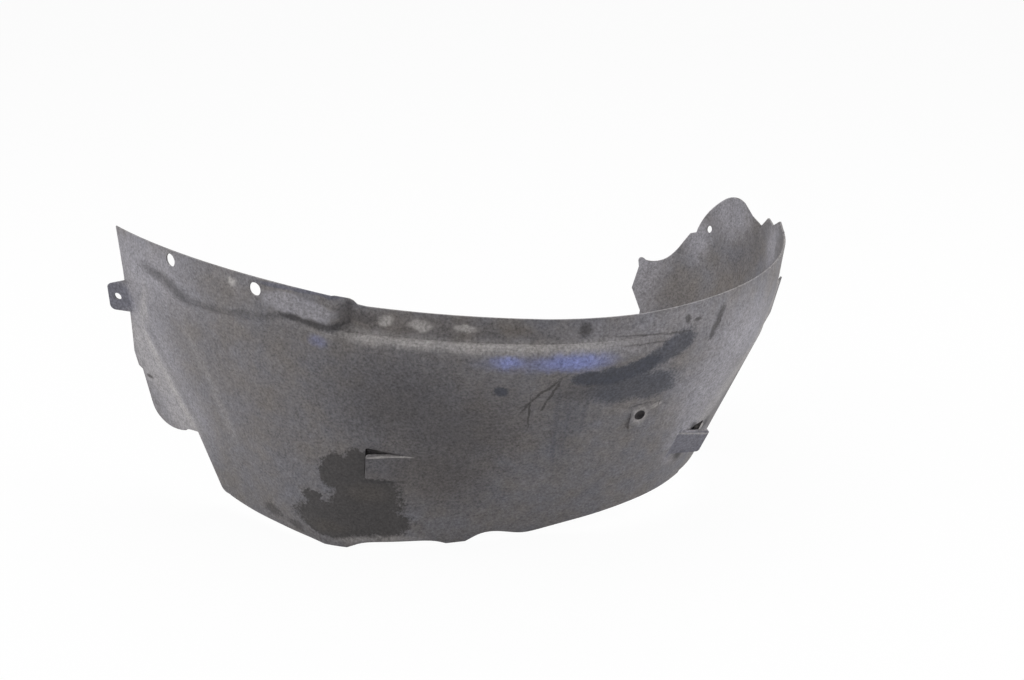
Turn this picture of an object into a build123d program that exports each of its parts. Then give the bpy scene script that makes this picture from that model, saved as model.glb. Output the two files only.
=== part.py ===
from build123d import *
import os
from functools import partial
from math import atan2, cos, degrees, hypot, pi, radians, sin, tan

os.makedirs("parts", exist_ok=True)

# Driving dimensions, mm and degrees. The crown of the arch stands at x = 0, y = 0 while it is drawn,
# x runs along the vehicle, y points to the wheel and z from the inboard edge up to the outer rim.
wall_t = 2.5            # moulded sheet
arch_r = 330.0          # rim round the wheel
lead_r = 730.0          # flatter run of the rim, away from the wheel
wrap_sweep = 150.0      # turn from the crown round to the far end
rim_h = 358.5           # height of the plain rim
shelf_h = 326.0         # foot of the rim band
shoulder_w = 10.0       # how far the shoulder stands out at the crown
shoulder_h = 22.0       # height of its rounding
shoulder_steps = 6
blend_split = 0.58       # share of the blend that meets the round of the lower edge
flat_split = 0.544       # share of the straight that meets the rest of it
wall_points = 6         # places at which each piece of the wall is drawn part way up
wrap_in = 2.0           # how far the rim lies inside its circle at the side of the wheel
wrap_lean = 6.5         # how far the rim and the band lean in there
wrap_full = ((280.0, 3.8), (250.0, 8.0))    # height and fulness of the wall there
merge_turn = 50.0       # turn from the crown at which the shoulder has run out
step_turn = 19.3        # turn from the crown to the mounting flange
flange_out = 16.0       # how far the mounting flange stands out from the rim band
flange_turn = 12.5      # length of the flange that keeps its step, as a turn
lead_turn = 18.0        # length of the flange whose step fades, as a turn
end_turn = 1.0          # head of the end flap, as a turn
flange_top = 395.0      # flange before its top edge is trimmed
foot_r = 200.0          # lower edge round the wheel
foot_shift = 3.0        # its centre from the centre of the rim
foot_turn = 12.5        # turn at which the lower edge leaves its arc
foot_flat = 230.0       # straight of the lower edge under the crown
bend_r = 200.0          # bend of the lower edge towards the leg
bend_turn = 51.0
foot_lead = 104.0       # straight of the lower edge under the leg
flap_turn = 5.0         # fold of the end flap at the foot
flap_foot = 150.0       # width of the flap at the foot

flange_hole_d = 17.5    # two fixing holes of the flange
flange_hole_turns = (-39.9, -28.7)
flange_hole_h = (376.0, 367.5)
lobe_hole_d = 11.0      # fixing hole of the lobe at the far end
lobe_hole_turn = 126.6
lobe_hole_h = 298.5
lobe_hole_lean = 13.5   # how far the wall of the lobe looks down at its hole
seat_w = 38.0           # upright seat of the side fixing
seat_l = 38.0
seat_lean = 14.0        # how far the seat looks down
seat_sink = 2.0         # depth of its head under the face of the wall
seat_collar = 16.0      # length of the collar round its hole
seat_open = 14.0        # reach of its hollow into the arch
seat_front = 20.0       # reach of the cut in front of its face
seat_piece = 1          # piece of the wall that carries it, and share along that piece
seat_share = 0.675
seat_top = 219.9
seat_hole_d = 15.0
seat_hole_drop = 19.0   # from the head of the seat
seat_hole_side = 6.0    # from the middle of the seat
tongue_l = 53.0         # two clip tongues on the front of the wall
tongue_h = 38.5
tongue_t = 4.0
tongue_root = 5.0       # length of a tongue that stays in the sheet
tongue_sink = 0.3       # depth of its face under the face of the sheet at the root
tongue_corner = 4.0
tongue_gap = 2.0        # clearance round a tongue
tongue_head_gap = 5.0   # clearance at the head of its free end
pocket_d = 9.0          # room behind a tongue, from the face of the wall
hook_l = 62.0           # plain tongue at the side of the wheel
hook_h = 54.0
hook_turn = 70.0
hook_top = 314.0
hook_lean = 12.4
hook_roll = -3.0        # fall of its free end
lug_root = 51.0         # fixing lug on the end of the leg
lug_l = 34.0
lug_fall = 11.0         # fall of its head from the root to the tip
lug_rake = 4.5          # how much further its foot reaches than its head
lug_corner = 7.0
lug_hole_d = 11.0
lug_hole_in = 12.6      # hole from the tip, and under the middle of the root
lug_hole_drop = 3.0
lug_turn = 20.0
lug_piece = 5           # piece of the wall that carries it, and share along that piece
lug_share = 0.895
lug_h = 295.0
lug_in = 8.0            # length of the lug inside the wall
lug_back = 2.0          # depth of its face under the face of the wall


def heading(turn):
    """Direction of travel from the far end to the leg, at a turn measured from the crown."""
    return Vector(-cos(radians(turn)), -sin(radians(turn)))


def outward(turn, lean=0.0):
    """Direction out of the arch at a turn from the crown, looking down by the lean."""
    flat = cos(radians(lean))
    return Vector(flat * sin(radians(turn)), -flat * cos(radians(turn)), -sin(radians(lean)))


def skin_lines(rounding, height, inset):
    """Path of the sheet from the far end to the leg, at a height and 0 to 90 degrees round the shoulder."""
    out = sin(radians(rounding))
    wrap_r = arch_r - wrap_in - (rim_h - height) * tan(radians(wrap_lean))
    grow = (arch_r + out * shoulder_w - wrap_r) / (1 - cos(radians(merge_turn)))
    over = degrees(
        atan2(grow * sin(radians(merge_turn)), lead_r - arch_r - grow * cos(radians(merge_turn)))
    )
    rise = flange_out * (1 - out)
    ramp_angle = degrees(atan2(rise, flange_out))
    shift = degrees(inset * tan(radians(ramp_angle / 2)) / lead_r)
    start = Vector(
        (wrap_r - inset) * sin(radians(wrap_sweep)),
        arch_r - (wrap_r - inset) * cos(radians(wrap_sweep)),
    )
    wrap = JernArc(start, heading(wrap_sweep), wrap_r - inset, merge_turn - wrap_sweep)
    blend = JernArc(wrap @ 1, wrap % 1, wrap_r + grow - inset, -merge_turn - over)
    crown_r = lead_r + out * shoulder_w - inset
    crown = JernArc(blend @ 1, blend % 1, crown_r, over - step_turn + shift)
    if rounding < 90:
        ramp_way = (crown % 1).rotate(Axis.Z, ramp_angle)
        ramp = PolarLine(crown @ 1, hypot(flange_out, rise), direction=ramp_way)
    else:
        ramp = JernArc(crown @ 1, crown % 1, crown_r, -degrees(flange_out / lead_r))
    pad_r = lead_r + flange_out - out * (flange_out - shoulder_w) - inset
    pad_start = step_turn - shift + degrees(flange_out / lead_r)
    pad = JernArc(ramp @ 1, heading(-pad_start), pad_r, -flange_turn)
    lead_out = pad_r + out * (flange_out - shoulder_w) * 2 / radians(lead_turn) ** 2
    lead = JernArc(pad @ 1, pad % 1, lead_out, -lead_turn * pad_r / lead_out)
    end = JernArc(lead @ 1, lead % 1, lead_out, -end_turn)
    return [wrap, blend, crown, ramp, pad, lead, end]


def wall_lines(inset):
    """Path along the foot of the shoulder, with one piece for each piece of the lower edge."""
    wrap, blend, crown, ramp, pad, lead, end = skin_lines(90, wall_h, inset)
    blend_angle = degrees(blend.length / blend.radius)
    near = JernArc(wrap @ 1, wrap % 1, blend.radius, -blend_angle * blend_split)
    past = JernArc(near @ 1, near % 1, blend.radius, -blend_angle * (1 - blend_split))
    whole = crown.length + ramp.length + pad.length
    ratio = (past.length + whole) / (foot_flat + radians(bend_turn) * bend_r)
    front = foot_flat * ratio - past.length
    run = JernArc(past @ 1, past % 1, crown.radius, -degrees(front / crown.radius))
    bend = JernArc(run @ 1, run % 1, crown.radius, -degrees((whole - front) / crown.radius))
    return [wrap, near, past, run, bend, lead, end]


def foot_lines(inset):
    """Path of the lower edge."""
    r = foot_r - inset
    start = Vector(foot_shift + r * sin(radians(wrap_sweep)), arch_r - r * cos(radians(wrap_sweep)))
    wrap = JernArc(start, heading(wrap_sweep), r, merge_turn - wrap_sweep)
    near = JernArc(wrap @ 1, wrap % 1, r, foot_turn - merge_turn)
    past = PolarLine(near @ 1, foot_flat * flat_split, direction=near % 1)
    run = PolarLine(past @ 1, foot_flat * (1 - flat_split), direction=near % 1)
    bend = JernArc(run @ 1, run % 1, bend_r - inset, -bend_turn)
    lead = PolarLine(bend @ 1, foot_lead, direction=bend % 1)
    end = PolarLine(lead @ 1, flap_foot, direction=(lead % 1).rotate(Axis.Z, -flap_turn))
    return [wrap, near, past, run, bend, lead, end]


def between_lines(height, fulness, inset):
    """Path of the wall part way up: straight up and down at the crown and fuller round the wheel."""
    share = height / wall_h
    fades = [lambda t: 1, lambda t: (1 + cos(pi * t)) / 2] + [lambda t: 0] * 5
    pieces = []
    for top, foot, fade in zip(wall_lines(inset), foot_lines(inset), fades):
        points = []
        ends = []
        for i in range(wall_points + 1):
            t = i / wall_points
            along = (top % t) * (share * top.length) + (foot % t) * ((1 - share) * foot.length)
            side = along.normalized().rotate(Axis.Z, 90)
            points.append((top @ t) * share + (foot @ t) * (1 - share) + side * (fulness * fade(t)))
            ends.append(along)
        pieces.append(Spline(*points, tangents=(ends[0], ends[-1])))
    return pieces


def sheet_section(lines, z, face=0.0, back=wall_t):
    """Cross-section of the sheet at a height, between its outer and its inner path."""
    outer = lines(face)
    inner = lines(back)
    far_end = Line(outer[0] @ 0, inner[0] @ 0)
    leg_end = Line(outer[-1] @ 1, inner[-1] @ 1)
    return Pos(0, 0, z) * make_face(outer + inner + [far_end, leg_end], mode=Mode.PRIVATE)


wall_h = shelf_h - shoulder_h
wall_levels = [(wall_h, wall_lines)]
for height, fulness in wrap_full:
    wall_levels.append((height, partial(between_lines, height, fulness)))
wall_levels.append((0.0, foot_lines))
wall_faces = [(height, lines(0)) for height, lines in wall_levels]


def wall_sections(face=0.0, back=wall_t):
    """Cross-sections of the wall from the foot of the shoulder down to the lower edge."""
    return [sheet_section(lines, height, face, back) for height, lines in wall_levels]


def wall_place(piece, share, height):
    """Point on the face of the wall, part way along one of its pieces, with its turn and its lean."""
    for (top_h, tops), (foot_h, feet) in zip(wall_faces, wall_faces[1:]):
        if height >= foot_h:
            break
    rise = (height - foot_h) / (top_h - foot_h)
    top = tops[piece]
    foot = feet[piece]
    at = (top @ share) * rise + (foot @ share) * (1 - rise)
    way = (top % share) * (rise * top.length) + (foot % share) * ((1 - rise) * foot.length)
    turn = degrees(atan2(-way.Y, -way.X))
    lean = degrees(atan2(((top @ share) - (foot @ share)).dot(outward(turn)), top_h - foot_h))
    return Vector(at.X, at.Y, height), turn, lean


head_sections = [sheet_section(partial(skin_lines, 0, flange_top), flange_top)]
for i in range(shoulder_steps + 1):
    rounding = 90 * i / shoulder_steps
    height = shelf_h - shoulder_h * (1 - cos(radians(rounding)))
    head_sections.append(sheet_section(partial(skin_lines, rounding, height), height))
liner_wall = wall_sections()

# Reach of the cutters. Those of the front view are drawn in x and z and run from the back to the front.
y_front = -60.0
y_leg = arch_r + 40
y_rim = arch_r - 25
y_side = arch_r - 105
y_far = arch_r + 82
y_end = arch_r + 350
x_far = arch_r - 250
x_side = arch_r - 90
x_clear = arch_r + 70
top_clear = 440.0
foot_clear = -20.0

# End of the leg, its flap, and the lower edge as far as the first lobe.
with BuildSketch(Plane.XZ.offset(-y_leg)) as leg_trim:
    with BuildLine():
        edge = Polyline((-573, top_clear), (-564, 330), (-564, 270), (-573, 182), (-561, 175))
        side = Line(edge @ 1, (-554, 122))
        hem = ((-542, 99), (-520, 93), (-497, 101), (-476, 109))
        under = Spline(side @ 1, *hem, tangents=(side % 1, (1, 0.2)))
        drop = Line(under @ 1, (-449, 29))
        corner = TangentArc(drop @ 1, (-435, 21.5), tangent=drop % 1)
        Polyline(corner @ 1, (-435, foot_clear), (-660, foot_clear), (-660, top_clear), edge @ 0)
    make_face()

# Lower edge with its three lobes.
with BuildSketch(Plane.XZ.offset(-y_side)) as foot_trim:
    with BuildLine():
        wave = Spline(
            (-440, 22), (-389, 11), (-302, 2.5), (-273, -3), (-246, 8), (-219, 11.5), (-167, 9.5),
            (-141, 4), (-121, -4), (-88, 11), (-61, 12), (-32, 5), (-6, 9), (46, 22), (101, 34.5),
            (158, 43), (200, 51),
        )
        Polyline(wave @ 1, (420, 51), (420, foot_clear), (-440, foot_clear), wave @ 0)
    make_face()

# Top edge of the flange, the step, and the plain rim as far as the side of the wheel.
with BuildSketch(Plane.XZ.offset(-y_rim)) as rim_trim:
    with BuildLine():
        crest = ThreePointArc((-660, 392), (-430, 387.5), (-256, 374.5))
        fall = Polyline(crest @ 1, (-234.5, 366.3), (-229.5, 361.8), (-219, rim_h + 2))
        rim = Polyline(fall @ 1, (0, rim_h - 1.5), (110, rim_h - 2), (420, rim_h + 8))
        Polyline(rim @ 1, (420, top_clear), (-660, top_clear), crest @ 0)
    make_face()

# Torn teeth of the rim at the side of the wheel, drawn in the side view as y from its centre and z.
with BuildSketch(Plane((x_side, arch_r, 0), x_dir=(0, 1, 0), z_dir=(1, 0, 0))) as teeth_trim:
    with BuildLine():
        torn = Polyline((-25, rim_h + 6), (-10, 364.5), (11, 368.5), (39, 353.5), (61, 357.5), (82, 337))
        Polyline(torn @ 1, (82, top_clear), (-25, top_clear), torn @ 0)
    make_face()

# Lower edge at the side of the wheel, which comes down again to the far end.
with BuildSketch(Plane((x_far, arch_r, 0), x_dir=(0, 1, 0), z_dir=(1, 0, 0))) as side_trim:
    with BuildLine():
        ways = ((1, 0.05), (0.2, -1))
        arch = Spline((-125, 52), (-40, 55), (15, 42), (55, foot_clear), tangents=ways)
        Polyline(arch @ 1, (-125, foot_clear), arch @ 0)
    make_face()

# Outline of the far end in the front view, from the side of the rim: lobe, hollow, hooked tip, bulged end.
with BuildSketch(Plane((arch_r, y_end, 0), x_dir=(1, 0, 0), z_dir=(0, -1, 0))) as far_trim:
    with BuildLine():
        flank = Polyline((30, 337), (-10, 337), (-23, 345), (-31, 357))
        lobe = Spline(flank @ 1, (-38, 360), (-47, 357), (-60, 344.5), (-75, 323.5), (-89, 294.5))
        nick = Polyline(lobe @ 1, (-91, 288), (-99, 284))
        hollow = Spline(nick @ 1, (-111, 265), (-124, 247), (-138, 235.5), (-152, 230), (-164, 229.5))
        tip = ThreePointArc(hollow @ 1, (-172, 231), (-174.5, 224))
        tail = Polyline(tip @ 1, (-174, 218), (-185, 186), (-173, 156), (-212, foot_clear))
        Polyline(tail @ 1, (-270, foot_clear), (-270, top_clear), (30, top_clear), flank @ 0)
    make_face()


def tongue_planes(at, turn, lean, side, swing, roll):
    """Plane of the sheet and plane of a tongue that swings out of it, with x from root to free end."""
    along = Vector(cos(radians(turn)), sin(radians(turn)), 0)
    normal = outward(turn, lean)
    up = normal.cross(along)
    axis = along * (side * cos(radians(roll))) + up * sin(radians(roll))
    tip = axis * cos(radians(swing)) + normal * sin(radians(swing))
    face = normal * cos(radians(swing)) - axis * sin(radians(swing))
    root = at - normal * tongue_sink
    return Plane(origin=at, x_dir=axis, z_dir=normal), Plane(origin=root, x_dir=tip, z_dir=face)


def tongue_face(plane, down, start, end, root_gap, head_gap, foot_gap, slant, height):
    """Face of a tongue, of its window or of its pocket; down is the sense of y towards the foot."""
    with BuildSketch(plane) as face:
        with BuildLine():
            Polyline(
                (start, -down * root_gap),
                (end, -down * head_gap),
                (end, down * (height + foot_gap)),
                (start + slant, down * (height + foot_gap)),
                close=True,
            )
        make_face()
        fillet(face.vertices().sort_by(Axis.X)[-2:], tongue_corner)
    return face.sketch


def pocket(sections, face):
    """Block that follows the wall between two depths, inside an outline."""
    with BuildPart() as block:
        loft(sections, ruled=True)
        extrude(face, amount=4 * pocket_d, both=True, mode=Mode.INTERSECT)
    return block.part


# Clip tongues: piece of the wall, share along it and height of the head of the root, side to which the
# tongue points, swing, roll, and slant of the root.
tongues = (
    (3, 0.86, 152.6, -1, 9.0, 5.5, 20.0),
    (1, 0.235, 144.2, 1, 13.0, -6.0, 5.0),
)
pocket_shell = wall_sections(wall_t / 2, pocket_d + wall_t)
pocket_room = wall_sections(-2 * pocket_d, pocket_d)
tongue_plates = []
tongue_blocks = []
tongue_rooms = []
for piece, share, height, side, swing, roll, slant in tongues:
    sheet, plate = tongue_planes(*wall_place(piece, share, height), side, swing, roll)
    reach = tongue_l * cos(radians(swing)) + tongue_gap
    tongue_plates.append(
        tongue_face(plate, -side, -tongue_root, tongue_l, 0, 0, 0, slant, tongue_h)
    )
    window = tongue_face(sheet, -side, tongue_root, reach, 0, tongue_head_gap, tongue_gap, slant, tongue_h)
    surround = tongue_face(
        sheet, -side, tongue_root - wall_t, reach + wall_t, wall_t, tongue_head_gap + wall_t,
        tongue_gap + wall_t, slant, tongue_h,
    )
    tongue_blocks.append(pocket(pocket_shell, surround))
    tongue_rooms.append(pocket(pocket_room, window))

# Plain tongue at the side of the wheel, which leaves the round wall along its tangent.
hook_r = arch_r - wrap_in - (rim_h - hook_top) * tan(radians(wrap_lean))
hook_at = Vector(0, arch_r, hook_top) + outward(hook_turn) * hook_r
hook_plane = tongue_planes(hook_at, hook_turn, hook_lean, 1, 0, hook_roll)[1]
hook = tongue_face(hook_plane, -1, -2 * tongue_root, hook_l, 0, 0, 0, 0, hook_h)

# Seat of the side fixing in its upright mid plane: x out of the arch, y up, from the head of the seat.
seat_head, seat_turn, seat_wall_lean = wall_place(seat_piece, seat_share, seat_top)
seat_plane = Plane(origin=seat_head, x_dir=outward(seat_turn), z_dir=heading(seat_turn))
seat_foot_out = -seat_sink - seat_l * tan(radians(seat_lean))
seat_foot_in = -seat_l * tan(radians(seat_wall_lean))
with BuildSketch(seat_plane) as seat_cut:
    with BuildLine():
        face = Line((-seat_sink, 0), (seat_foot_out, -seat_l))
        Polyline(face @ 1, (seat_front, -seat_l), (seat_front, 0), face @ 0)
    make_face()
with BuildSketch(seat_plane) as seat_block:
    with BuildLine():
        head = Polyline((-seat_sink - wall_t, wall_t), (0, wall_t), (-seat_sink, 0))
        Polyline(head @ 1, (seat_foot_out, -seat_l), (seat_foot_in - wall_t, -seat_l), head @ 0)
    make_face()
with BuildSketch(seat_plane) as seat_hollow:
    with BuildLine():
        Polyline(
            (-seat_open, -2 * wall_t),
            (-seat_sink - wall_t - 2 * wall_t * tan(radians(seat_lean)), -2 * wall_t),
            (seat_foot_out - wall_t, wall_t - seat_l),
            (seat_foot_in - seat_open, wall_t - seat_l),
            close=True,
        )
    make_face()
seat_hole_at = (
    seat_head
    + heading(seat_turn) * seat_hole_side
    - outward(seat_turn) * (seat_sink + seat_hole_drop * sin(radians(seat_lean)))
    - Vector(0, 0, seat_hole_drop * cos(radians(seat_lean)))
)

# Lug on the end of the leg.
lug_at, lug_wall_turn, lug_lean = wall_place(lug_piece, lug_share, lug_h)
lug_plane = Plane(
    origin=lug_at - outward(lug_wall_turn, lug_lean) * lug_back,
    x_dir=-heading(-lug_turn),
    z_dir=outward(-lug_turn, lug_lean),
)
with BuildSketch(lug_plane) as lug:
    with BuildLine():
        Polyline(
            (lug_in, lug_root / 2),
            (0, lug_root / 2),
            (-lug_l, lug_root / 2 - lug_fall),
            (-lug_l - lug_rake, -lug_root / 2),
            (lug_in, -lug_root / 2),
            close=True,
        )
    make_face()
    fillet(lug.vertices().sort_by(Axis.X)[:2], lug_corner)
    with Locations((lug_hole_in - lug_l, -lug_hole_drop)):
        Circle(lug_hole_d / 2, mode=Mode.SUBTRACT)


def round_hole(at, turn, lean, d):
    """Circle of a hole through the sheet, in a plane that looks out of the arch."""
    with BuildSketch(Plane(origin=at, z_dir=outward(turn, lean))) as circle:
        Circle(d / 2)
    return circle.sketch


hole_reach = seat_collar + wall_t
collar = round_hole(seat_hole_at, seat_turn, seat_lean, seat_hole_d + 2 * wall_t)
holes = [round_hole(seat_hole_at, seat_turn, seat_lean, seat_hole_d)]
for turn, height in zip(flange_hole_turns, flange_hole_h):
    place = Vector(0, lead_r, height) + outward(turn) * (lead_r + flange_out)
    holes.append(round_hole(place, turn, 0, flange_hole_d))
lobe_r = arch_r - wrap_in - (rim_h - lobe_hole_h) * tan(radians(wrap_lean))
lobe_place = Vector(0, arch_r, lobe_hole_h) + outward(lobe_hole_turn) * lobe_r
holes.append(round_hole(lobe_place, lobe_hole_turn, lobe_hole_lean, lobe_hole_d))

with BuildPart() as liner:
    loft(liner_wall, ruled=True)
    loft(head_sections, ruled=True)
    extrude(leg_trim.sketch, amount=y_leg - y_front, mode=Mode.SUBTRACT)
    extrude(foot_trim.sketch, amount=y_side - y_front, mode=Mode.SUBTRACT)
    extrude(rim_trim.sketch, amount=y_rim - y_front, mode=Mode.SUBTRACT)
    extrude(teeth_trim.sketch, amount=x_clear - x_side, mode=Mode.SUBTRACT)
    extrude(side_trim.sketch, amount=x_clear - x_far, mode=Mode.SUBTRACT)
    extrude(far_trim.sketch, amount=y_end - y_far, mode=Mode.SUBTRACT)
    for block, room, plate in zip(tongue_blocks, tongue_rooms, tongue_plates):
        add(block)
        add(room, mode=Mode.SUBTRACT)
        extrude(plate, amount=-tongue_t)
    extrude(hook, amount=-wall_t)
    extrude(seat_cut.sketch, amount=seat_w / 2, both=True, mode=Mode.SUBTRACT)
    extrude(seat_block.sketch, amount=seat_w / 2, both=True)
    extrude(seat_hollow.sketch, amount=seat_w / 2 - wall_t, both=True, mode=Mode.SUBTRACT)
    extrude(collar, amount=-seat_collar)
    extrude(lug.sketch, amount=-wall_t)
    for hole in holes:
        extrude(hole, amount=hole_reach, both=True, mode=Mode.SUBTRACT)

# The finished liner stands on the middle of its own box.
box = liner.part.bounding_box()
with BuildPart() as arch_liner:
    add(Pos(-box.center().X, -box.center().Y, -box.min.Z) * liner.part)

arch_liner.part.label = "arch_liner"
export_step(arch_liner.part, "parts/arch_liner.step")
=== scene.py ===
"""Wheel arch liner: finish of the moulded sheet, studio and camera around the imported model."""

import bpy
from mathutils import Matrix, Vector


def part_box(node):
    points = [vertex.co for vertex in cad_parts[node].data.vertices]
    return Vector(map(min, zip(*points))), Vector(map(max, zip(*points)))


bl_info = {
    "name": "Wheel arch liner",
    "version": (1, 0, 0),
    "blender": (4, 5, 0),
    "location": "View3D > Sidebar > Arch liner",
    "description": "Road worn finish for a moulded wheel arch liner, with a plain studio round it",
    "category": "Object",
}

from math import atan2, cos, degrees, hypot, pi, radians, sin
from typing import NamedTuple

import bpy
from mathutils import Vector

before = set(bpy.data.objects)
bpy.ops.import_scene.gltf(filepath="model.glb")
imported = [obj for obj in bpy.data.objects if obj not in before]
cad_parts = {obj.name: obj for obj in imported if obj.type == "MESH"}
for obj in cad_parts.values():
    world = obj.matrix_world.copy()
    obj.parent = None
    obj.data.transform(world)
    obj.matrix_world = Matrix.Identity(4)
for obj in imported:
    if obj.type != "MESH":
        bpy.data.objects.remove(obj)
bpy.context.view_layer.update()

LINER = "arch_liner"
LOW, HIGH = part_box(LINER)
MM = 0.001  # metres

# Axis of the wheel, which the wall of the liner goes round, from the box of the part.
ARCH_RADIUS = 0.330  # metres, of the round of the rim
RIGHT_REACH = 0.329  # metres from the axis to the right side of the box
FRONT_REACH = 0.340  # metres from the axis to the front side of the box
WHEEL_X = HIGH.x - RIGHT_REACH
WHEEL_Y = LOW.y + FRONT_REACH

# Width of the picture that the camera is set for, in pixels.
PICTURE_WIDTH = 1024

# Step between the outer and the inner face where stains are placed. It is far more than the length of the
# part counted in half widths of the thinnest stroke, so no stain comes through to the other face.
FAR = 10000.0

# Half length of each patch of a stroke, as a share of its stretch, so that neighbours run into each other.
STROKE_SHARE = 0.6

# Faces of the clip tongues.
PLATE_REACH = 0.036  # metres, half of the diagonal of a tongue
PLATE_DEPTH = 0.0005  # metres to both sides of its face

# Weights of the patterns in the finish.
FRAY = 0.5  # share of a patch's size that the speckle adds to and takes from its edge, in all
LOBE_WEIGHT = 0.3  # of the lobes beside the speckle, in lightening and darkening
GRAIN_HEIGHT = 0.2  # millimetres
DENT_DEPTH = 2.0  # millimetres
DENTS = ("groove", "undercut")  # stains that are also dents


class Patch(NamedTuple):
    """Ellipse on the wall, drawn as if the wall were unrolled at the radius of the arch."""

    bearing: float  # degrees round the axis of the wheel, from the front, positive to the right
    height: float  # millimetres over the floor
    half_width: float  # millimetres along the arch
    half_height: float  # millimetres
    tilt: float = 0.0  # degrees, positive lifts the right end


class Stain(NamedTuple):
    """Mark on the sheet, made of patches that run into each other."""

    name: str
    tint: str  # colour of the finish that it shows
    weight: float  # share of that colour
    soft: float  # share of a patch's size over which its edge fades to both sides
    ragged: float  # millimetres by which its edge wanders
    patches: tuple
    inside: bool = False  # on the face that looks at the wheel


class Plate(NamedTuple):
    """Flat face of a clip tongue, cleaner than the wall round it."""

    tint: str
    weight: float
    middle: tuple  # metres
    normal: tuple


class Hollow(NamedTuple):
    """Ball that holds the walls of a bore or a pocket, and nothing of the face round it."""

    tint: str
    weight: float
    middle: tuple  # metres
    reach: float  # metres


class Lamp(NamedTuple):
    """Square lamp that looks at the middle of the part."""

    name: str
    place: tuple  # metres
    side: float  # metres
    power: str  # setting of the studio that holds its power


def stroke(half_width, *places):
    """Patches along a line through places given as bearing and height."""
    patches = []
    for (bearing_0, height_0), (bearing_1, height_1) in zip(places, places[1:]):
        along = radians(bearing_1 - bearing_0) * ARCH_RADIUS / MM
        rise = height_1 - height_0
        middle = (bearing_0 + bearing_1) / 2, (height_0 + height_1) / 2
        half_length = hypot(along, rise) * STROKE_SHARE + half_width
        patches.append(Patch(*middle, half_length, half_width, degrees(atan2(rise, along))))
    return tuple(patches)


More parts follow.
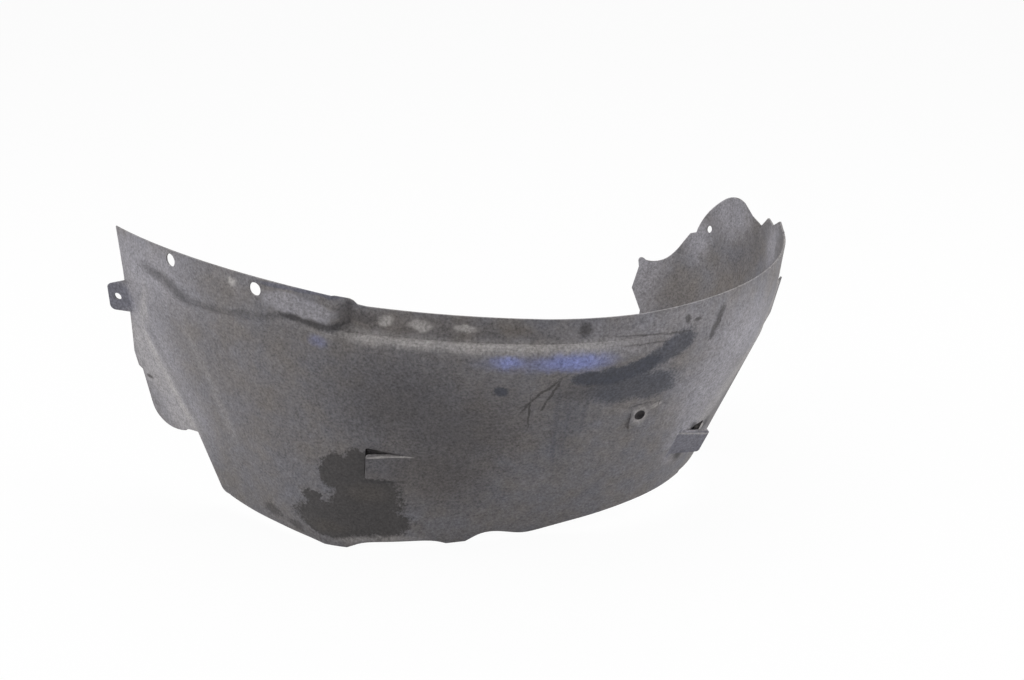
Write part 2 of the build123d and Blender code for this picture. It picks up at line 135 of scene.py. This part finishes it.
STAINS_AND_PAINTED_LIGHT = (
    # Film of dust: thick on the end of the leg and on the right wall, washed off in the middle. The lighter
    # sides are also painted sheen, and the darker middle is also painted shade.
    Stain("dusty_wing", "dust", 0.7, 0.8, 40, (
        Patch(-76, 345, 50, 45), Patch(-80, 220, 34, 110), Patch(-78, 140, 34, 56),
    )),
    Stain("dusty_leg", "dust", 0.12, 0.8, 40, (Patch(-68, 260, 60, 110), Patch(-64, 365, 90, 20))),
    Stain("dusty_band", "dust", 0.35, 0.8, 20, (Patch(24, 340, 110, 20), Patch(14, 318, 60, 14))),
    Stain("dusty_right", "dust", 0.75, 0.8, 30, (
        Patch(52, 280, 75, 52), Patch(46, 225, 64, 70), Patch(46, 150, 40, 50),
    )),
    Stain("washed_middle", "bare", 0.75, 0.8, 40, (
        Patch(-30, 235, 80, 70), Patch(-22, 195, 90, 70), Patch(-25, 130, 60, 60),
    )),
    # Brown dirt on the band of the rim and on the wall, and dark spots on the band.
    Stain("band_dirt", "earth", 0.42, 0.7, 16, (Patch(-26, 342, 75, 14), Patch(-7, 342, 20, 7))),
    Stain("wall_dirt", "earth", 0.2, 0.8, 40, (
        Patch(-8, 225, 50, 50), Patch(-50, 300, 60, 20), Patch(-66, 250, 36, 60),
        Patch(-28, 125, 40, 30), Patch(-62, 358, 36, 14), Patch(-58, 200, 40, 60),
    )),
    Stain("band_spots", "damp", 0.2, 0.6, 14, (
        Patch(-2.5, 338, 16, 6), Patch(-12, 336, 14, 5), Patch(16, 342, 10, 3),
    )),
    # Damp stain round the left clip tongue, its small neighbours, and the pale line along its foot.
    Stain("damp_stain", "damp", 0.95, 0.14, 26, (
        Patch(-44.5, 118, 27, 32), Patch(-41.6, 140, 13, 20), Patch(-41.5, 96, 36, 22),
        Patch(-42, 75, 38, 26), Patch(-45.5, 45, 60, 27), Patch(-40, 42, 28, 24),
        Patch(-51.8, 74, 10, 12), Patch(-50.5, 24, 27, 11, -20),
    )),
    Stain("damp_spots", "damp", 0.65, 0.4, 16, (Patch(-61.6, 31, 11, 10), Patch(-56.5, 20, 12, 6, -30))),
    Stain("damp_brown", "earth", 0.22, 0.7, 14, (Patch(-41.5, 90, 20, 14), Patch(-50, 30, 20, 9))),
    Stain("foot_band", "rub", 0.35, 0.8, 6, stroke(4, (-47.5, 11), (-42, 17), (-35.5, 15))),
    # Dark blotch on the right shoulder, the damp under it and the drips that ran down from it.
    Stain("blotch_damp", "oily", 0.76, 0.3, 16, (Patch(17, 256, 50, 25), Patch(25, 250, 36, 21))),
    Stain("blotch_brown", "bare", 0.5, 0.6, 16, (Patch(6, 258, 28, 18),)),
    Stain("blotch_arm", "oily", 0.78, 0.25, 16, (
        Patch(28.5, 306, 29, 16, 18), Patch(24, 293, 27, 15, 20),
    )),
    Stain("blotch", "oily", 0.92, 0.25, 16, (
        Patch(20, 285, 30, 13, 14), Patch(15, 277, 36, 14, 4), Patch(9, 277, 24, 11),
    )),
    Stain("drips", "oily", 0.28, 0.8, 18, (Patch(5, 225, 28, 50), Patch(3, 175, 22, 44))),
    Stain("drip_lines", "oily", 0.3, 0.8, 12, (
        *stroke(3, (9, 244), (8.2, 186)), *stroke(2.5, (4.8, 226), (4, 158)),
        *stroke(3.5, (2, 250), (1.3, 138)),
    )),
    # Branching scratches under the paint, straight ones over the blotch, scrapes and a dark spot.
    Stain("scratches", "damp", 0.8, 0.6, 8, (
        *stroke(1.9, (2.5, 279), (-4.2, 244), (-6.1, 227)), *stroke(1.5, (-4.2, 244), (-4.9, 204)),
        *stroke(1.9, (2.2, 273), (-0.5, 243), (-1.8, 230)),
    )),
    Stain("thin_lines", "damp", 0.55, 0.7, 6, (
        *stroke(1.3, (14.7, 331), (31.8, 322)), *stroke(1.3, (15.8, 319), (25.3, 316)),
    )),
    Stain("scrapes", "damp", 0.7, 0.45, 10, (
        *stroke(5.5, (41, 337), (40.2, 322), (38.7, 308)), Patch(31, 338, 4, 6), Patch(34, 335, 6, 3),
        Patch(7.3, 343, 9, 8, 60),
    )),
    Stain("spot", "oily", 0.92, 0.3, 8, (Patch(-10.2, 261, 8.5, 7.5),)),
    # Blue paint mist on the shoulder, a rub under a part of it, and a stray speck near the flange.
    Stain("paint_rub", "rub", 0.4, 0.9, 8, (Patch(-8.3, 306, 12, 6),)),
    Stain("paint_mist", "paint", 0.68, 0.8, 14, (
        Patch(5.6, 303.5, 36, 11, -2), Patch(-8.3, 306, 14, 7),
    )),
    Stain("paint_haze", "paint", 0.25, 0.9, 12, (Patch(-2, 303, 50, 10), Patch(-44.3, 313, 8, 7))),
    # Painted highlight along the shoulder, pale rubs on the band, and the face, lip and end of the flange.
    Stain("shoulder_line", "rub", 0.5, 1.0, 6, stroke(
        6.5, (-40.2, 325), (-30.7, 323), (-21, 322.5), (-11, 322), (2, 322), (12, 322.5),
    )),
    Stain("rubs", "rub", 0.72, 0.5, 14, (
        Patch(-32.9, 345, 9, 6, 10), Patch(-25.8, 343, 12, 6.5, -5), Patch(-17, 343, 12, 4.5),
        Patch(-58.6, 370, 5, 5),
    )),
    Stain("flange_face", "dust", 0.65, 0.25, 10, (
        Patch(-49, 358, 26, 13, -6), Patch(-45, 353, 24, 12, -10), Patch(-43.2, 350, 12, 12),
    )),
    Stain("flange_lip", "slate", 0.9, 0.5, 2, stroke(
        3, (-53, 378), (-48.1, 377), (-43, 376.5), (-40.5, 372),
    )),
    Stain("flange_end", "bare", 0.55, 0.35, 6, (Patch(-39.8, 352, 6, 14), Patch(-37, 347, 14, 8))),
    # Painted shade in the groove, the crease and the undercut under the flange.
    Stain("groove", "grime", 0.62, 0.9, 10, stroke(7, (-75, 353), (-72, 347), (-70, 337), (-68.4, 330))),
    Stain("crease", "grime", 0.42, 0.8, 16, stroke(
        4.5, (-67, 326), (-60.4, 327.4), (-54.7, 333.5), (-48.9, 339.5),
    )),
    Stain("undercut", "grime", 0.78, 0.5, 5, (
        *stroke(3.6, (-49.5, 341.5), (-46.5, 338), (-44.1, 335)),
        *stroke(5, (-44.5, 335), (-41.4, 332.5)), *stroke(3, (-41.6, 332), (-40.6, 337)),
    )),
    # Flap at the end of the leg: pale dust, painted highlights on its ridges, painted shade along its crease
    # and a dark dot, a painted highlight on the ridge beside it, and the clean lug.
    Stain("flap_dust", "rub", 0.3, 0.5, 16, (Patch(-81, 190, 20, 70, 12), Patch(-78.5, 125, 22, 28))),
    Stain("flap_ridge", "rub", 0.4, 0.9, 4, (
        *stroke(4, (-77.6, 300), (-80.4, 254), (-79.6, 200), (-76.2, 112)),
        *stroke(3, (-77.2, 310), (-78.5, 270)),
    )),
    Stain("flap_crease", "grime", 0.2, 0.9, 4, stroke(4, (-79, 275), (-77.6, 203.5), (-74.4, 112))),
    Stain("leg_ridge", "rub", 0.18, 1.0, 6, stroke(5, (-69.5, 265), (-67.5, 190), (-66.5, 135))),
    Stain("flap_dot", "damp", 0.8, 0.5, 2, (Patch(-83.2, 168, 3, 3),)),
    Stain("lug", "slate", 0.8, 0.2, 0, (Patch(-84.6, 296, 26, 32),)),
    # Painted sheen along the edge of the right wall and its dark tab, a painted highlight round the rim of
    # the fixing seat and a darker line over it, and painted shadow under and round the clip tongues.
    Stain("right_edge", "rub", 0.42, 1.0, 10, stroke(18, (78, 330), (74, 275), (62, 232), (53, 160))),
    Stain("right_tab", "bare", 0.6, 0.3, 4, (Patch(78.4, 301, 10, 16),)),
    Stain("seat_rim", "rub", 0.42, 0.4, 6, (Patch(23.8, 201.5, 12, 13), Patch(28, 213, 9, 3.5, 20))),
    Stain("seat_line", "damp", 0.5, 0.7, 6, stroke(1.5, (20.6, 218), (25.5, 220))),
    Stain("tongue_dirt", "grime", 0.7, 0.7, 4, (
        *stroke(2.5, (-40.8, 110), (-35.5, 110)), Patch(47, 97, 14, 8, -30), Patch(55.5, 134, 12, 9),
        Patch(48, 146, 12, 5, -30),
    )),
    # Inner face of the far leg: painted light on the lobe and the end, brown dirt low down, dark mottling.
    Stain("far_dust", "dust", 0.8, 0.7, 30, (
        Patch(119, 335, 50, 36), Patch(146, 215, 44, 60), Patch(94, 330, 24, 30), Patch(130, 281, 27, 30),
    ), True),
    Stain("far_dirt", "earth", 0.4, 0.8, 30, (Patch(132, 195, 70, 34), Patch(112, 235, 40, 30)), True),
    Stain("far_mottle", "bare", 0.3, 0.7, 40, (Patch(106, 300, 30, 36), Patch(112, 285, 30, 20)), True),
)

# Faces of the left and the right clip tongue.
PLATES = (
    Plate("bare", 0.3, (-0.0726, -0.2362, 0.1355), (0.1118, -0.9599, -0.2571)),
    Plate("slate", 0.7, (0.3214, -0.1370, 0.1219), (0.4159, -0.8357, -0.3585)),
)

# Painted highlights along the heads of the tongues, over their faces.
LEDGE_HIGHLIGHTS = (
    Stain("left_ledge", "rub", 0.75, 0.4, 0, (
        Patch(-36.6, 152.8, 12, 1.8), Patch(-33.4, 151.6, 13, 1.4, -6),
    )),
    Stain("right_ledge", "rub", 0.55, 0.6, 0, stroke(1.6, (42, 142.6), (47.7, 135.7), (51.6, 130.8))),
)

# The bore of the fixing seat in bare plastic, which also paints shade into it, and painted light in the
# pocket behind the right tongue, which lifts its shade.
HOLLOWS = (
    Hollow("bare", 1.0, (0.2435, -0.2131, 0.2034), 0.0104),
    Hollow("rub", 0.9, (0.3366, -0.1104, 0.1330), 0.0080),
)

# One lamp at each side of the part, and one over it.
LAMPS = (
    Lamp("lamp_left", (-2.4, -0.5, 1.5), 1.8, "side_power"),
    Lamp("lamp_right", (2.4, -0.5, 1.5), 1.8, "side_power"),
    Lamp("lamp_top", (0.1, 0.5, 2.8), 2.2, "top_power"),
)


def linear(text):
    """Linear colour, with alpha, of an sRGB hex value."""
    parts = [int(text[i : i + 2], 16) / 255 for i in (1, 3, 5)]
    return (*[p / 12.92 if p <= 0.04045 else ((p + 0.055) / 1.055) ** 2.4 for p in parts], 1.0)


WHITE = linear("#ffffff")


def add(tree, kind, sockets=None, **settings):
    """New node of a tree, with its settings, and with links or values for its sockets."""
    made = tree.nodes.new(kind)
    for name, value in settings.items():
        setattr(made, name, value)
    for name, value in (sockets or {}).items():
        if isinstance(value, bpy.types.NodeSocket):
            tree.links.new(value, made.inputs[name])
        else:
            made.inputs[name].default_value = value
    return made


def colour_property(name, text, about):
    """Colour that a user may change, as a linear colour property."""
    return bpy.props.FloatVectorProperty(
        name=name, description=about, subtype="COLOR", size=4, min=0.0, max=1.0, default=linear(text)
    )


def length_property(name, millimetres, about):
    """Length that a user may change, given in millimetres."""
    return bpy.props.FloatProperty(
        name=name, description=about, subtype="DISTANCE", unit="LENGTH", default=millimetres * MM
    )


class LinerFinish(bpy.types.PropertyGroup):
    """Colours and pattern sizes of the moulded sheet."""

    warm: colour_property("Warm film", "#6f6b6a", "Thin film of dust, brownish")
    cool: colour_property("Cool film", "#6c6b70", "Thin film of dust, bluish")
    # This colour is also painted shade: in the middle of the wall and in the bore of the fixing seat.
    bare: colour_property("Bare", "#4c494b", "Moulded polypropylene without dust")
    # This colour is also painted light: on the sides of the wall and on the inner face of the far leg.
    dust: colour_property("Dust", "#929096", "Thick road dust")
    earth: colour_property("Earth", "#5e564e", "Dried earth in the film of dust")
    damp: colour_property("Damp", "#3b3838", "Plastic where it is wet")
    oily: colour_property("Oily", "#3e4049", "Plastic where an oily wax darkened it")
    # This colour is painted shade: it darkens the groove, the crease and the undercut under the flange, the
    # crease of the flap and the wall under and round the clip tongues, where shade falls.
    grime: colour_property("Grime", "#323032", "Dirt in grooves and undercuts")
    slate: colour_property("Slate", "#60606a", "Clean plastic with a bluish cast")
    paint: colour_property("Paint", "#7f89c2", "Blue paint mist on the shoulder")
    # This colour is also painted highlight: on the shoulder, the ridges of the leg, the right edge, the seat
    # rim, the heads of the tongues, faces that look up, and the pocket behind the right tongue.
    rub: colour_property("Rub", "#aaa6a4", "Pale rubs where the sheet chafed")
    mottle: length_property("Mottle", 42.0, "Size of the cloudy patches in the dust")
    frayed: length_property("Frayed", 12.0, "Size of the lobes on the edges of the stains")
    # Grains of dust and the moulded grain are well under 1 mm. They are drawn coarser, so that they show.
    speckle: length_property("Speckle", 3.4, "Size of the grains of dust")
    grain: length_property("Grain", 1.6, "Size of the moulded grain")


class Studio(bpy.types.PropertyGroup):
    """Lamps, floor and camera."""

    side_power: bpy.props.FloatProperty(
        name="Side lamps", description="Power of each lamp at the sides", unit="POWER", default=46.0
    )
    top_power: bpy.props.FloatProperty(
        name="Top lamp", description="Power of the lamp over the part", unit="POWER", default=30.0
    )
    fill: bpy.props.FloatProperty(
        name="Fill", description="Strength of the even light from all round", default=0.35
    )
    floor_size: length_property("Floor", 16000.0, "Side of the square floor")
    paper: colour_property("Paper", "#e6e6e6", "White of the paper on the floor")
    paper_glow: bpy.props.FloatProperty(
        name="Paper glow", description="Share of plain white that the floor shows to the camera",
        subtype="FACTOR", min=0.0, max=1.0, default=0.95,
    )
    camera_pitch: bpy.props.FloatProperty(
        name="Camera pitch", description="Angle at which the camera looks down", subtype="ANGLE",
        default=radians(22.5),
    )
    camera_height: length_property("Camera height", 974.2, "Height of the camera over the floor")
    camera_back: length_property(
        "Camera back", 1881.1, "Distance of the camera in front of the wheel's axis"
    )
    camera_left: length_property(
        "Camera left", 45.0, "Distance of the camera to the left of the wheel's axis"
    )
    focal_pixels: bpy.props.FloatProperty(
        name="Focal length", description="Focal length of the camera in pixels of the picture",
        default=1425.0,
    )


def wall_coordinates(tree, place, normal):
    """Arc along the wall and height, in metres, and between them the side: 0 on the outer face and FAR on the
    inner one."""
    from_axis = add(
        tree, "ShaderNodeVectorMath", {0: place, 1: (WHEEL_X, WHEEL_Y, 0.0)}, operation="SUBTRACT"
    ).outputs[0]
    x, y, z = add(tree, "ShaderNodeSeparateXYZ", {0: from_axis}).outputs
    front = add(tree, "ShaderNodeMath", {0: y, 1: -1.0}, operation="MULTIPLY").outputs[0]
    bearing = add(tree, "ShaderNodeMath", {0: x, 1: front}, operation="ARCTAN2").outputs[0]
    arc = add(tree, "ShaderNodeMath", {0: bearing, 1: ARCH_RADIUS}, operation="MULTIPLY").outputs[0]
    level = add(tree, "ShaderNodeCombineXYZ", {0: x, 1: y}).outputs[0]
    radial = add(tree, "ShaderNodeVectorMath", {0: level}, operation="NORMALIZE").outputs[0]
    facing = add(
        tree, "ShaderNodeVectorMath", {0: normal, 1: radial}, operation="DOT_PRODUCT"
    ).outputs["Value"]
    # Rims and ledges, which look along the axis, count as outer faces.
    side = add(
        tree, "ShaderNodeMapRange", {"Value": facing, "From Min": -0.2, "From Max": -0.3, "To Max": FAR}
    ).outputs[0]
    return add(tree, "ShaderNodeCombineXYZ", {0: arc, 1: side, 2: z}).outputs[0]


def stain_mask(tree, wall, fray, stain):
    """Share of a stain at the point that is shaded, from 0 outside it to its weight inside."""
    face = FAR if stain.inside else 0.0
    nearest = None
    # The side comes with the wall vector, so each patch is worked out by itself. Were it added to every patch
    # on its own, the renderer would hold too many values at a time and show the part black.
    for patch in stain.patches:
        tilt = radians(patch.tilt)
        width, height = patch.half_width * MM, patch.half_height * MM
        along = (cos(tilt) / width, 0.0, sin(tilt) / width)
        across = (-sin(tilt) / height, 1.0, cos(tilt) / height)
        centre = (radians(patch.bearing) * ARCH_RADIUS, face, patch.height * MM)
        local = add(tree, "ShaderNodeVectorMath", {0: wall, 1: centre}, operation="SUBTRACT").outputs[0]
        u = add(tree, "ShaderNodeVectorMath", {0: local, 1: along}, operation="DOT_PRODUCT").outputs["Value"]
        v = add(tree, "ShaderNodeVectorMath", {0: local, 1: across}, operation="DOT_PRODUCT").outputs["Value"]
        flat = add(tree, "ShaderNodeCombineXYZ", {0: u, 1: v}).outputs[0]
        distance = add(tree, "ShaderNodeVectorMath", {0: flat}, operation="LENGTH").outputs["Value"]
        if nearest:
            distance = add(
                tree, "ShaderNodeMath", {0: nearest, 1: distance}, operation="MINIMUM"
            ).outputs[0]
        nearest = distance
    frayed = add(tree, "ShaderNodeMath", {0: nearest, 1: fray}, operation="ADD").outputs[0]
    return add(
        tree, "ShaderNodeMapRange",
        {
            "Value": frayed, "From Min": 1.0 + stain.soft, "From Max": 1.0 - stain.soft,
            "To Max": stain.weight,
        },
        interpolation_type="SMOOTHSTEP",
    ).outputs[0]


def plate_mask(tree, place, plate):
    """Share of the face of a clip tongue at the point that is shaded."""
    from_middle = add(
        tree, "ShaderNodeVectorMath", {0: place, 1: plate.middle}, operation="SUBTRACT"
    ).outputs[0]
    off = add(
        tree, "ShaderNodeVectorMath", {0: from_middle, 1: plate.normal}, operation="DOT_PRODUCT"
    ).outputs["Value"]
    depth = add(tree, "ShaderNodeMath", {0: off}, operation="ABSOLUTE").outputs[0]
    reach = add(tree, "ShaderNodeVectorMath", {0: from_middle}, operation="LENGTH").outputs["Value"]
    flat = add(tree, "ShaderNodeMath", {0: depth, 1: PLATE_DEPTH}, operation="LESS_THAN").outputs[0]
    near = add(tree, "ShaderNodeMath", {0: reach, 1: PLATE_REACH}, operation="LESS_THAN").outputs[0]
    both = add(tree, "ShaderNodeMath", {0: flat, 1: near}, operation="MULTIPLY").outputs[0]
    return add(tree, "ShaderNodeMath", {0: both, 1: plate.weight}, operation="MULTIPLY").outputs[0]


def hollow_mask(tree, place, hollow):
    """Share of the walls of a bore or a pocket at the point that is shaded."""
    away = add(
        tree, "ShaderNodeVectorMath", {0: place, 1: hollow.middle}, operation="DISTANCE"
    ).outputs["Value"]
    near = add(tree, "ShaderNodeMath", {0: away, 1: hollow.reach}, operation="LESS_THAN").outputs[0]
    return add(tree, "ShaderNodeMath", {0: near, 1: hollow.weight}, operation="MULTIPLY").outputs[0]


def road_worn_polypropylene(look):
    """Injection moulded polypropylene, black once and greyed by weather and road dust."""
    # To the eye it is matt, with a fine moulded grain, a speckled film of dust that lightens it unevenly,
    # stains that darken it and are a little glossier where damp, and paint mist on the shoulder. Highlights
    # and shade are painted into some of the marks.
    material = bpy.data.materials.new("moulded_polypropylene_road_worn")
    material.use_nodes = True
    tree = material.node_tree
    tree.nodes.clear()
    place = add(tree, "ShaderNodeTexCoord").outputs["Object"]
    normal = add(tree, "ShaderNodeNewGeometry").outputs["Normal"]
    wall = wall_coordinates(tree, place, normal)

    # Patterns: clouds in the film of dust, lobes on the edges of the stains, and speckle.
    clouds = add(
        tree, "ShaderNodeTexNoise",
        {"Vector": place, "Scale": 1 / look.mottle, "Detail": 5.0, "Roughness": 0.6},
    ).outputs[0]
    lobes = add(
        tree, "ShaderNodeTexNoise",
        {"Vector": place, "Scale": 1 / look.frayed, "Detail": 4.0, "Roughness": 0.65},
    ).outputs
    specks = add(
        tree, "ShaderNodeTexNoise",
        {"Vector": place, "Scale": 1 / look.speckle, "Detail": 4.0, "Roughness": 0.7},
    ).outputs[0]
    wander = add(
        tree, "ShaderNodeVectorMath", {0: lobes["Color"], 1: (0.5, 0.5, 0.5)}, operation="SUBTRACT"
    ).outputs[0]
    fray = add(
        tree, "ShaderNodeMath", {0: specks, 1: FRAY, 2: -FRAY / 2}, operation="MULTIPLY_ADD"
    ).outputs[0]

    # Brownish and bluish film, and on faces that look up thicker dust, which also paints the highlight of the
    # light from above.
    tone = add(tree, "ShaderNodeMapRange", {"Value": clouds, "From Min": 0.35, "From Max": 0.65}).outputs[0]
    colour = add(
        tree, "ShaderNodeMix", {"Factor": tone, "A": look.warm, "B": look.cool}, data_type="RGBA"
    ).outputs["Result"]
    up = add(tree, "ShaderNodeSeparateXYZ", {0: normal}).outputs["Z"]
    settled_dust_and_highlight = add(
        tree, "ShaderNodeMapRange", {"Value": up, "From Min": 0.2, "From Max": 0.9, "To Max": 0.25},
        interpolation_type="SMOOTHSTEP",
    ).outputs[0]
    colour = add(
        tree, "ShaderNodeMix", {"Factor": settled_dust_and_highlight, "A": colour, "B": look.rub}, data_type="RGBA"
    ).outputs["Result"]

    masks = {}
    for mark in (*STAINS_AND_PAINTED_LIGHT, *PLATES, *LEDGE_HIGHLIGHTS, *HOLLOWS):
        if isinstance(mark, Plate):
            mask = plate_mask(tree, place, mark)
        elif isinstance(mark, Hollow):
            mask = hollow_mask(tree, place, mark)
        else:
            swing = (mark.ragged * MM, 0.0, mark.ragged * MM)
            warped = add(
                tree, "ShaderNodeVectorMath", {0: wander, 1: swing, 2: wall}, operation="MULTIPLY_ADD"
            ).outputs[0]
            mask = masks[mark.name] = stain_mask(tree, warped, fray, mark)
        tint = getattr(look, mark.tint)
        colour = add(
            tree, "ShaderNodeMix", {"Factor": mask, "A": colour, "B": tint}, data_type="RGBA"
        ).outputs["Result"]

    # Speckle and lobes lighten and darken whatever lies under them.
    blend = add(
        tree, "ShaderNodeMath", {0: lobes[0], 1: LOBE_WEIGHT, 2: specks}, operation="MULTIPLY_ADD"
    ).outputs[0]
    gain = add(
        tree, "ShaderNodeMapRange",
        {"Value": blend, "From Min": 0.25, "From Max": 1.05, "To Min": 0.1, "To Max": 1.9},
    ).outputs[0]
    colour = add(tree, "ShaderNodeVectorMath", {0: colour, "Scale": gain}, operation="SCALE").outputs[0]

    # Dust is rougher than the plastic, and the damp stain is smoother than both.
    rough = add(
        tree, "ShaderNodeMapRange",
        {"Value": specks, "From Min": 0.3, "From Max": 0.7, "To Min": 0.6, "To Max": 0.8},
    ).outputs[0]
    rough = add(
        tree, "ShaderNodeMix", {"Factor": masks["damp_stain"], "A": rough, "B": 0.5}, data_type="FLOAT"
    ).outputs["Result"]

    # Relief in millimetres: moulded grain on slight waves, and the dents under the flange.
    grain = add(
        tree, "ShaderNodeTexNoise",
        {"Vector": place, "Scale": 1 / look.grain, "Detail": 3.0, "Roughness": 0.6},
    ).outputs[0]
    relief = add(
        tree, "ShaderNodeMath", {0: grain, 1: GRAIN_HEIGHT, 2: clouds}, operation="MULTIPLY_ADD"
    ).outputs[0]
    for name in DENTS:
        relief = add(
            tree, "ShaderNodeMath", {0: masks[name], 1: -DENT_DEPTH, 2: relief}, operation="MULTIPLY_ADD"
        ).outputs[0]
    bump = add(tree, "ShaderNodeBump", {"Height": relief, "Strength": 0.6, "Distance": MM}).outputs[0]
    shader = add(
        tree, "ShaderNodeBsdfPrincipled",
        {"Base Color": colour, "Roughness": rough, "Normal": bump, "IOR": 1.49, "Specular IOR Level": 0.35},
    )
    add(tree, "ShaderNodeOutputMaterial", {"Surface": shader.outputs[0]})
    return material


def seamless_paper(studio):
    """Matt white paper, rolled and uncoated."""
    # To the eye it takes a soft shadow round the part, and is plain white elsewhere.
    material = bpy.data.materials.new("seamless_paper_matt_white")
    material.use_nodes = True
    tree = material.node_tree
    tree.nodes.clear()
    light = add(tree, "ShaderNodeLightPath").outputs
    seen = add(
        tree, "ShaderNodeMath", {0: light["Is Camera Ray"], 1: light["Is Glossy Ray"]}, operation="MAXIMUM"
    ).outputs[0]
    seen = add(
        tree, "ShaderNodeMath", {0: seen, 1: light["Is Transmission Ray"]}, operation="MAXIMUM"
    ).outputs[0]
    share = add(tree, "ShaderNodeMath", {0: seen, 1: studio.paper_glow}, operation="MULTIPLY").outputs[0]
    paper = add(tree, "ShaderNodeBsdfDiffuse", {"Color": studio.paper}).outputs[0]
    glow = add(tree, "ShaderNodeEmission", {"Color": WHITE, "Strength": 1.0}).outputs[0]
    both = add(tree, "ShaderNodeMixShader", {0: share, 1: paper, 2: glow}).outputs[0]
    add(tree, "ShaderNodeOutputMaterial", {"Surface": both})
    return material


class ARCHLINER_OT_finish(bpy.types.Operator):
    """Give the moulded sheet its road worn finish"""

    bl_idname = "arch_liner.finish"
    bl_label = "Finish the liner"

    def execute(self, context):
        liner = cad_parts[LINER]
        liner.data.materials.clear()
        liner.data.materials.append(road_worn_polypropylene(context.scene.liner_finish))
        return {"FINISHED"}


class ARCHLINER_OT_stage(bpy.types.Operator):
    """Set the floor, the lamps, the even light and the camera"""

    bl_idname = "arch_liner.stage"
    bl_label = "Set the stage"

    def execute(self, context):
        studio = context.scene.liner_studio
        self.make_floor(context, studio)
        self.make_lamps(context, studio)
        self.make_world(context, studio)
        self.make_camera(context, studio)
        context.scene.view_settings.view_transform = "Standard"
        return {"FINISHED"}

    def make_floor(self, context, studio):
        half = studio.floor_size / 2
        mesh = bpy.data.meshes.new("floor")
        mesh.from_pydata(
            [(-half, -half, 0), (half, -half, 0), (half, half, 0), (-half, half, 0)], [], [(0, 1, 2, 3)]
        )
        mesh.materials.append(seamless_paper(studio))
        floor = bpy.data.objects.new("floor", mesh)
        context.scene.collection.objects.link(floor)

    def make_lamps(self, context, studio):
        aim = Vector((0.0, 0.0, HIGH.z / 2))
        for lamp in LAMPS:
            data = bpy.data.lights.new(lamp.name, "AREA")
            data.size = lamp.side
            data.energy = getattr(studio, lamp.power)
            made = bpy.data.objects.new(lamp.name, data)
            made.location = lamp.place
            made.rotation_euler = (aim - made.location).to_track_quat("-Z", "Y").to_euler()
            context.scene.collection.objects.link(made)

    def make_world(self, context, studio):
        world = bpy.data.worlds.new("studio")
        world.use_nodes = True
        tree = world.node_tree
        tree.nodes.clear()
        light = add(tree, "ShaderNodeLightPath").outputs
        strength = add(
            tree, "ShaderNodeMapRange",
            {"Value": light["Is Camera Ray"], "To Min": studio.fill, "To Max": 1.0},
        ).outputs[0]
        even = add(tree, "ShaderNodeBackground", {"Color": WHITE, "Strength": strength}).outputs[0]
        add(tree, "ShaderNodeOutputWorld", {"Surface": even})
        context.scene.world = world

    def make_camera(self, context, studio):
        data = bpy.data.cameras.new("camera")
        data.sensor_fit = "HORIZONTAL"
        data.lens = data.sensor_width * studio.focal_pixels / PICTURE_WIDTH
        camera = bpy.data.objects.new("camera", data)
        camera.location = (
            WHEEL_X - studio.camera_left,
            WHEEL_Y - studio.camera_back,
            studio.camera_height,
        )
        camera.rotation_euler = (pi / 2 - studio.camera_pitch, 0.0, 0.0)
        context.scene.collection.objects.link(camera)
        context.scene.camera = camera


class ARCHLINER_PT_sidebar(bpy.types.Panel):
    """Settings of the liner and its studio"""

    bl_label = "Wheel arch liner"
    bl_idname = "ARCHLINER_PT_sidebar"
    bl_space_type = "VIEW_3D"
    bl_region_type = "UI"
    bl_category = "Arch liner"

    def draw(self, context):
        for group, operator in (("liner_finish", "arch_liner.finish"), ("liner_studio", "arch_liner.stage")):
            settings = getattr(context.scene, group)
            for name in settings.__annotations__:
                self.layout.prop(settings, name)
            self.layout.operator(operator)


CLASSES = (LinerFinish, Studio, ARCHLINER_OT_finish, ARCHLINER_OT_stage, ARCHLINER_PT_sidebar)


def register():
    for made in CLASSES:
        bpy.utils.register_class(made)
    bpy.types.Scene.liner_finish = bpy.props.PointerProperty(type=LinerFinish)
    bpy.types.Scene.liner_studio = bpy.props.PointerProperty(type=Studio)


def unregister():
    del bpy.types.Scene.liner_studio
    del bpy.types.Scene.liner_finish
    for made in reversed(CLASSES):
        bpy.utils.unregister_class(made)


def main():
    register()
    bpy.ops.arch_liner.finish()
    bpy.ops.arch_liner.stage()


if __name__ == "__main__":
    main()
